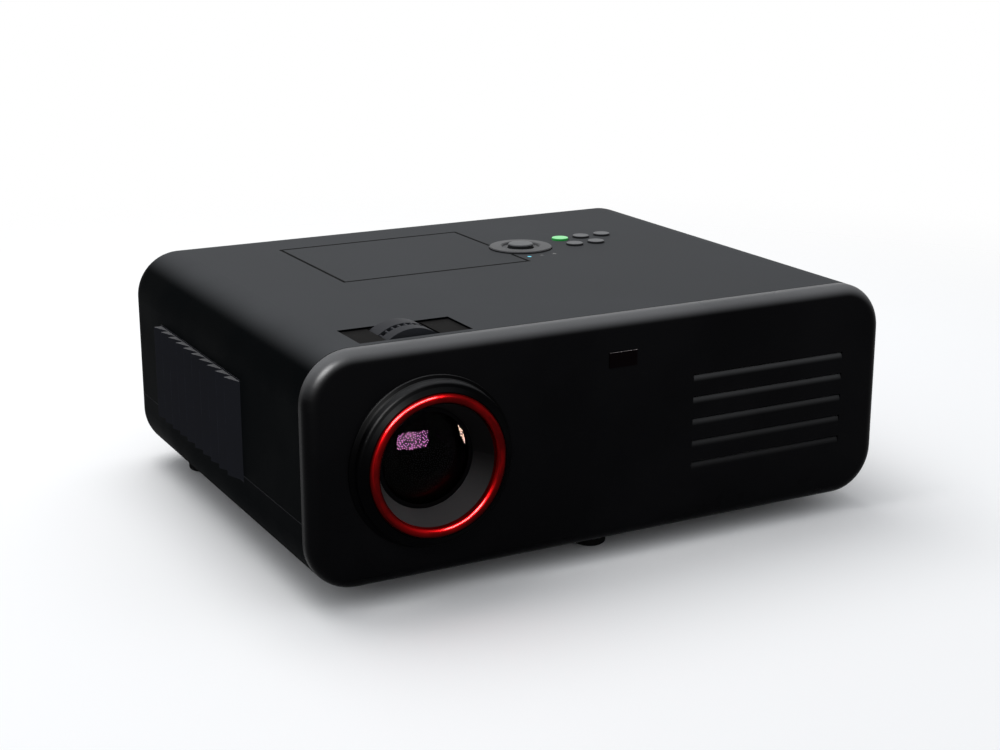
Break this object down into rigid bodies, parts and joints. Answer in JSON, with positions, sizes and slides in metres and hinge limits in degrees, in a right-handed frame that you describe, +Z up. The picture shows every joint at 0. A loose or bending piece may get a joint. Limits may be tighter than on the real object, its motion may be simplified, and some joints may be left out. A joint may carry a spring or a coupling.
{
  "type": "home projector",
  "caption": "Home projector with a focusing lens behind a red ring, keystone dial, louvred side vents, front exhaust grooves and a screw foot.",
  "frame": {"origin": "middle of the footprint, on the surface the feet stand on", "axes": "+Z up, +Y to the back, +X to the right for someone who looks at the front along +Y; the lens looks along -Y"},
  "size_m": [0.328, 0.2724, 0.1245],
  "materials": {
    "case_grey": "fine matte texture",
    "case_black": "satin moulded",
    "vent_plastic": "matte moulded",
    "dial_black": "matte moulded",
    "wheel_grey": "satin, fine teeth",
    "ring_red": "gloss metallic red",
    "hood_grey": "satin moulded",
    "lens_black": "matte moulded",
    "lens_glass": "coated optical glass",
    "screen_glass": "clear optical plastic",
    "key_grey": "satin painted",
    "key_green": "translucent green",
    "lamp_cyan": "clear light pipe",
    "window_red": "infrared window",
    "bright_steel": "plated",
    "brass": "turned",
    "rubber": "matte rubber",
    "board_green": "solder mask",
    "heatsink_metal": "extruded",
    "engine_plastic": "moulded",
    "fan_plastic": "moulded",
    "part_black": "moulded",
    "lamp_yellow": "phosphor lamp on a board"
  },
  "bodies": {
    "case": {"front_bezel": "case_black", "ir_window": "window_red", "ir_receiver": "part_black", "top_cover": "case_grey", "dial_plate": "dial_black", "dial_bracket": "engine_plastic", "dial_shaft": "bright_steel", "lens_collar": "case_black", "accent_ring": "ring_red", "hood_cone": "hood_grey", "lens_guide": "lens_black", "ring_clip": "bright_steel", "light_box": "engine_plastic", "light_box_lid": "engine_plastic", "field_fresnel": "screen_glass", "collimator_fresnel": "screen_glass", "reflector_horn": "heatsink_metal", "led_module": "lamp_yellow", "heatsink": "heatsink_metal", "exhaust_fan_frame": "fan_plastic", "lamp_fan_frame": "fan_plastic", "side_vent_left": "vent_plastic", "side_vent_right": "vent_plastic", "main_board": "board_green", "power_board": "board_green", "hdmi_sockets": "bright_steel", "usb_sockets": "bright_steel", "audio_jacks": "part_black", "power_inlet": "part_black", "rear_panel": "case_black", "bottom_tray": "case_black", "thread_inserts": "brass", "case_screws": "bright_steel", "rear_feet": "rubber", "speaker": "part_black", "key_board": "board_green", "status_lights": "lamp_cyan"},
    "service_cover": {"service_cover": "case_grey"},
    "focus_wheel": {"focus_wheel": "wheel_grey"},
    "focus_ring": {"focus_ring": "lens_black"},
    "lens": {"lens_barrel": "lens_black", "front_lens": "lens_glass", "rear_lens": "lens_glass", "lens_retainer": "lens_black"},
    "keystone_wheel": {"keystone_wheel": "wheel_grey"},
    "keystone_rod": {"keystone_rod": "engine_plastic"},
    "display": {"lcd_frame": "engine_plastic", "lcd_panel": "screen_glass"},
    "exhaust_rotor": {"exhaust_fan_rotor": "fan_plastic"},
    "lamp_rotor": {"lamp_fan_rotor": "fan_plastic"},
    "nav_plate": {"nav_plate": "engine_plastic"},
    "nav_ring": {"nav_ring": "key_grey"},
    "ok_button": {"ok_button": "key_grey"},
    "power_button": {"power_button": "key_green"},
    "menu_button": {"menu_button": "key_grey"},
    "source_button": {"source_button": "key_grey"},
    "back_button": {"back_button": "key_grey"},
    "mute_button": {"mute_button": "key_grey"},
    "foot_pad": {"foot_pad": "rubber"},
    "foot_screw": {"foot_screw": "engine_plastic"}
  },
  "joints": [
    {"name": "service_cover_lift", "type": "slide", "parent": "case", "child": "service_cover", "axis": [0, 0, 1], "range_m": [0, 0.03]},
    {"name": "focus_wheel_turn", "type": "hinge", "parent": "case", "child": "focus_wheel", "pos_m": [-0.0995, -0.10415, 0.1035], "axis": [0, 1, 0], "range_deg": [-60, 60]},
    {"name": "focus_ring_turn", "type": "hinge", "parent": "case", "child": "focus_ring", "pos_m": [-0.0995, -0.10415, 0.0655], "axis": [0, 1, 0], "range_deg": [-67, 67]},
    {"name": "lens_slide", "type": "slide", "parent": "case", "child": "lens", "axis": [0, 1, 0], "range_m": [-0.00301, 0.00301]},
    {"name": "keystone_wheel_turn", "type": "hinge", "parent": "case", "child": "keystone_wheel", "pos_m": [-0.0995, -0.09315, 0.1035], "axis": [0, 1, 0], "range_deg": [-60, 60]},
    {"name": "keystone_rod_slide", "type": "slide", "parent": "case", "child": "keystone_rod", "axis": [0, 1, 0], "range_m": [-0.00301, 0.00301]},
    {"name": "lcd_frame_tilt", "type": "hinge", "parent": "case", "child": "display", "pos_m": [-0.0995, 0.01985, 0.0295], "axis": [1, 0, 0], "range_deg": [-2.05, 2.05]},
    {"name": "exhaust_fan_spin", "type": "hinge", "parent": "case", "child": "exhaust_rotor", "pos_m": [0.09, -0.10215, 0.0648], "axis": [0, 1, 0], "continuous": true},
    {"name": "lamp_fan_spin", "type": "hinge", "parent": "case", "child": "lamp_rotor", "pos_m": [-0.0995, 0.12455, 0.0655], "axis": [0, 1, 0], "continuous": true},
    {"name": "nav_ring_left_right", "type": "hinge", "parent": "case", "child": "nav_plate", "pos_m": [0.0355, 0.03535, 0.1181], "axis": [0, 1, 0], "range_deg": [-2, 2], "stiffness_Nm_per_rad": 0.4},
    {"name": "nav_ring_up_down", "type": "hinge", "parent": "nav_plate", "child": "nav_ring", "pos_m": [0.0355, 0.03535, 0.1181], "axis": [1, 0, 0], "range_deg": [-2, 2], "stiffness_Nm_per_rad": 0.4},
    {"name": "ok_button_press", "type": "slide", "parent": "case", "child": "ok_button", "axis": [0, 0, -1], "range_m": [0, 0.0008], "stiffness_N_per_m": 400, "springref_m": -0.001},
    {"name": "power_button_press", "type": "slide", "parent": "case", "child": "power_button", "axis": [0, 0, -1], "range_m": [0, 0.0008], "stiffness_N_per_m": 400, "springref_m": -0.001},
    {"name": "menu_button_press", "type": "slide", "parent": "case", "child": "menu_button", "axis": [0, 0, -1], "range_m": [0, 0.0008], "stiffness_N_per_m": 400, "springref_m": -0.001},
    {"name": "source_button_press", "type": "slide", "parent": "case", "child": "source_button", "axis": [0, 0, -1], "range_m": [0, 0.0008], "stiffness_N_per_m": 400, "springref_m": -0.001},
    {"name": "back_button_press", "type": "slide", "parent": "case", "child": "back_button", "axis": [0, 0, -1], "range_m": [0, 0.0008], "stiffness_N_per_m": 400, "springref_m": -0.001},
    {"name": "mute_button_press", "type": "slide", "parent": "case", "child": "mute_button", "axis": [0, 0, -1], "range_m": [0, 0.0008], "stiffness_N_per_m": 400, "springref_m": -0.001},
    {"name": "foot_extend", "type": "slide", "parent": "case", "child": "foot_pad", "axis": [0, 0, -1], "range_m": [0, 0.009]},
    {"name": "foot_screw_turn", "type": "hinge", "parent": "foot_pad", "child": "foot_screw", "pos_m": [0, -0.10165, 0.0036], "axis": [0, 0, 1], "range_deg": [-1080.6, 0.6]}
  ],
  "couplings": [
    {"joint": "focus_ring_turn", "follows": "focus_wheel_turn", "ratio": -1.1111},
    {"joint": "lens_slide", "follows": "focus_wheel_turn", "m_per_rad": 0.0028648},
    {"joint": "keystone_rod_slide", "follows": "keystone_wheel_turn", "m_per_rad": -0.0028648},
    {"joint": "lcd_frame_tilt", "follows": "keystone_wheel_turn", "ratio": 0.033943},
    {"joint": "foot_screw_turn", "follows": "foot_extend", "rad_per_m": -2094.4}
  ]
}
